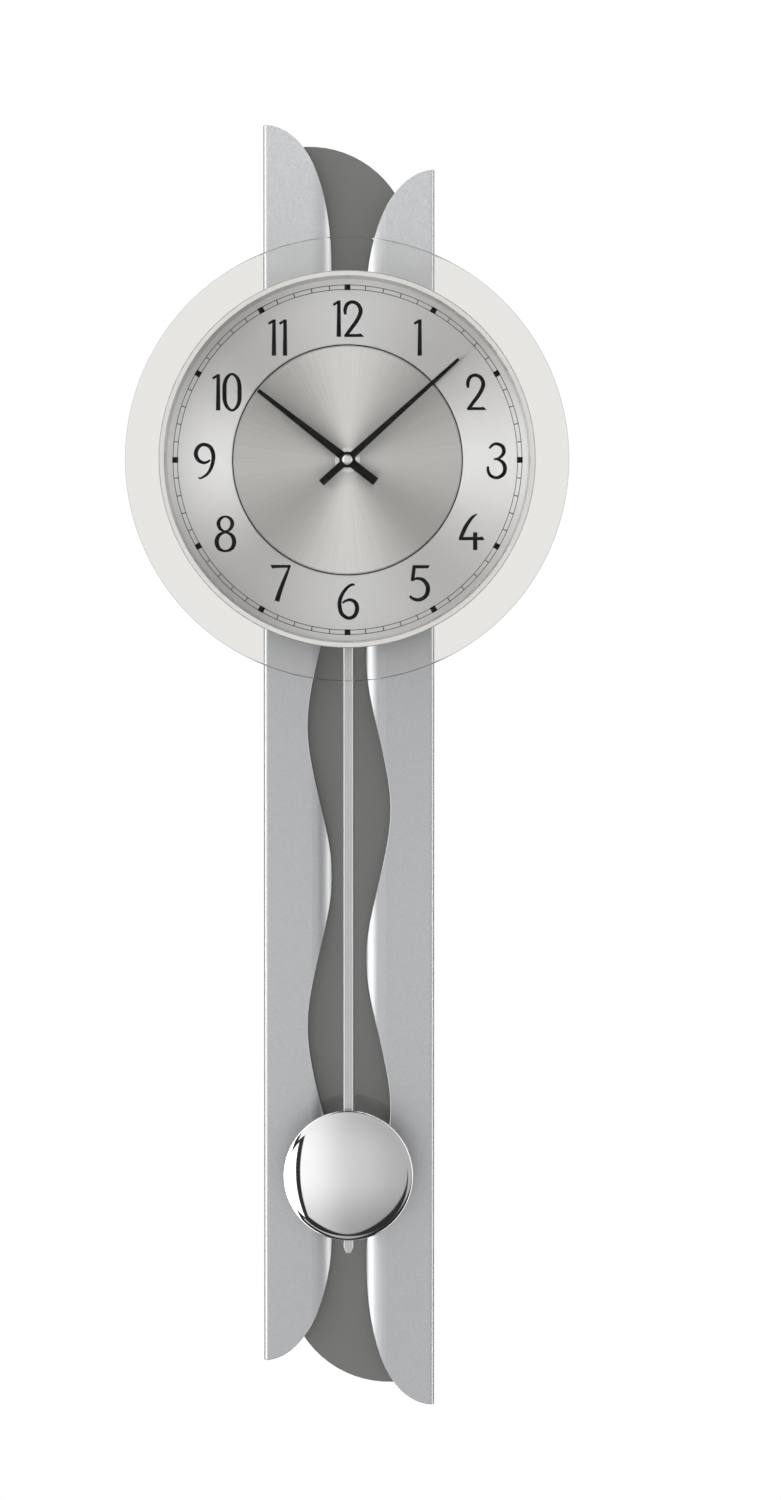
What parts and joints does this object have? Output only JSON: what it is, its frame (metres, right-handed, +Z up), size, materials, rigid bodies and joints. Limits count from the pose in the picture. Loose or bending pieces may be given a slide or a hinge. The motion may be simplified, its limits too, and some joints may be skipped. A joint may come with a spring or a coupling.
{
  "type": "pendulum wall clock",
  "caption": "Wall clock with a brushed round dial under an overhanging glass disc, waved silver side panels on a dark board, and a slim rod pendulum with a polished bob.",
  "frame": {"origin": "centre of the keyhole's round entry hole in the wall hanger plate, on the wall plane", "axes": "+Y points into the wall, the dial faces -Y, +X to the right as seen from the front, +Z up"},
  "size_m": [0.2273, 0.1, 0.6756],
  "materials": {
    "graphite_lacquer": "high gloss lacquer on fibreboard",
    "silver_aluminium": "fine satin silver",
    "spacer_aluminium": "turned",
    "steel_screws": "zinc plated",
    "hanger_steel": "zinc plated sheet",
    "pad_rubber": "soft black",
    "case_plastic": "moulded dark grey",
    "ring_aluminium": "turned and satin",
    "dial_aluminium": "turned with fine rings",
    "centre_aluminium": "sunray brushed",
    "clear_glass": "polished mineral glass",
    "movement_plastic": "moulded black",
    "brass": "turned",
    "bush_nickel": "nickel plated, turned",
    "gear_plastic": "natural acetal",
    "magnet_ferrite": "sintered",
    "stator_iron": "stamped soft iron",
    "copper_winding": "enamelled copper wire",
    "board_green": "solder mask",
    "chip_black": "potting resin",
    "crystal_can": "tinned can",
    "contact_steel": "nickel plated spring strip",
    "cell_jacket": "plain printed sleeve",
    "hand_black": "black lacquer",
    "bright_chrome": "polished",
    "pivot_steel": "polished",
    "lever_plastic": "moulded white",
    "rod_aluminium": "anodised satin strip",
    "bob_steel": "pressed steel",
    "ballast_iron": "plain iron disc"
  },
  "bodies": {
    "root": {"back_board": "graphite_lacquer", "left_side_panel": "silver_aluminium", "right_side_panel": "silver_aluminium", "panel_spacers": "spacer_aluminium", "case_spacers": "spacer_aluminium", "panel_screws": "steel_screws", "case_screws": "steel_screws", "hanger_screws": "steel_screws", "ring_screws": "steel_screws", "wall_hanger_plate": "hanger_steel", "wall_bumpers": "pad_rubber", "rubber_washer": "pad_rubber", "dial_case": "case_plastic", "bezel_ring": "ring_aluminium", "dial_plate": "dial_aluminium", "dial_centre_disc": "centre_aluminium", "glass_disc": "clear_glass", "movement_front_shell": "movement_plastic", "movement_back_shell": "movement_plastic", "threaded_bush": "bush_nickel", "face_washer": "bush_nickel", "hex_nut": "bush_nickel", "gear_bridge": "gear_plastic", "stator_plates": "stator_iron", "motor_coil": "copper_winding", "pendulum_drive_coil": "copper_winding", "circuit_board": "board_green", "circuit_chip": "chip_black", "quartz_crystal": "crystal_can", "battery_contact_positive": "contact_steel", "battery_contact_negative": "contact_steel", "pendulum_pivot_pin": "pivot_steel"},
    "minute_work": {"minute_arbor": "brass", "centre_wheel": "gear_plastic", "cannon_pinion": "gear_plastic", "minute_hand": "hand_black", "hand_cap": "bright_chrome"},
    "hour_work": {"hour_wheel": "gear_plastic", "hour_hand": "hand_black"},
    "motion_work": {"motion_wheel": "gear_plastic", "setting_knob": "movement_plastic"},
    "intermediate_work": {"intermediate_wheel": "gear_plastic"},
    "rotor": {"rotor_pinion": "gear_plastic", "rotor_magnet": "magnet_ferrite"},
    "battery": {"battery": "cell_jacket"},
    "pendulum": {"pendulum_lever": "lever_plastic", "pendulum_magnet": "magnet_ferrite", "pendulum_rod": "rod_aluminium", "bob_front_shell": "bright_chrome", "bob_back_shell": "bob_steel", "bob_ballast": "ballast_iron", "bob_clip": "bob_steel"}
  },
  "joints": [
    {"name": "minute_turn", "type": "hinge", "parent": "root", "child": "minute_work", "pos_m": [0, -0.0705, -0.11], "axis": [0, 1, 0], "continuous": true},
    {"name": "hour_turn", "type": "hinge", "parent": "root", "child": "hour_work", "pos_m": [0, -0.0705, -0.11], "axis": [0, 1, 0], "continuous": true},
    {"name": "motion_turn", "type": "hinge", "parent": "root", "child": "motion_work", "pos_m": [-0.00167, -0.0705, -0.10055], "axis": [0, 1, 0], "continuous": true},
    {"name": "intermediate_turn", "type": "hinge", "parent": "root", "child": "intermediate_work", "pos_m": [-0.00837, -0.0705, -0.11148], "axis": [0, 1, 0], "continuous": true},
    {"name": "rotor_turn", "type": "hinge", "parent": "root", "child": "rotor", "pos_m": [-0.0157, -0.0705, -0.11414], "axis": [0, 1, 0], "continuous": true},
    {"name": "pendulum_swing", "type": "hinge", "parent": "root", "child": "pendulum", "pos_m": [0, -0.0585, -0.072], "axis": [0, 1, 0], "range_deg": [-5, 5]},
    {"name": "battery_slide", "type": "slide", "parent": "root", "child": "battery", "axis": [0, 1, 0], "range_m": [0, 0.024]}
  ],
  "couplings": [
    {"joint": "hour_turn", "follows": "minute_turn", "ratio": 0.083333},
    {"joint": "motion_turn", "follows": "minute_turn", "ratio": -0.33333},
    {"joint": "intermediate_turn", "follows": "minute_turn", "ratio": -7.5},
    {"joint": "rotor_turn", "follows": "minute_turn", "ratio": 90}
  ]
}
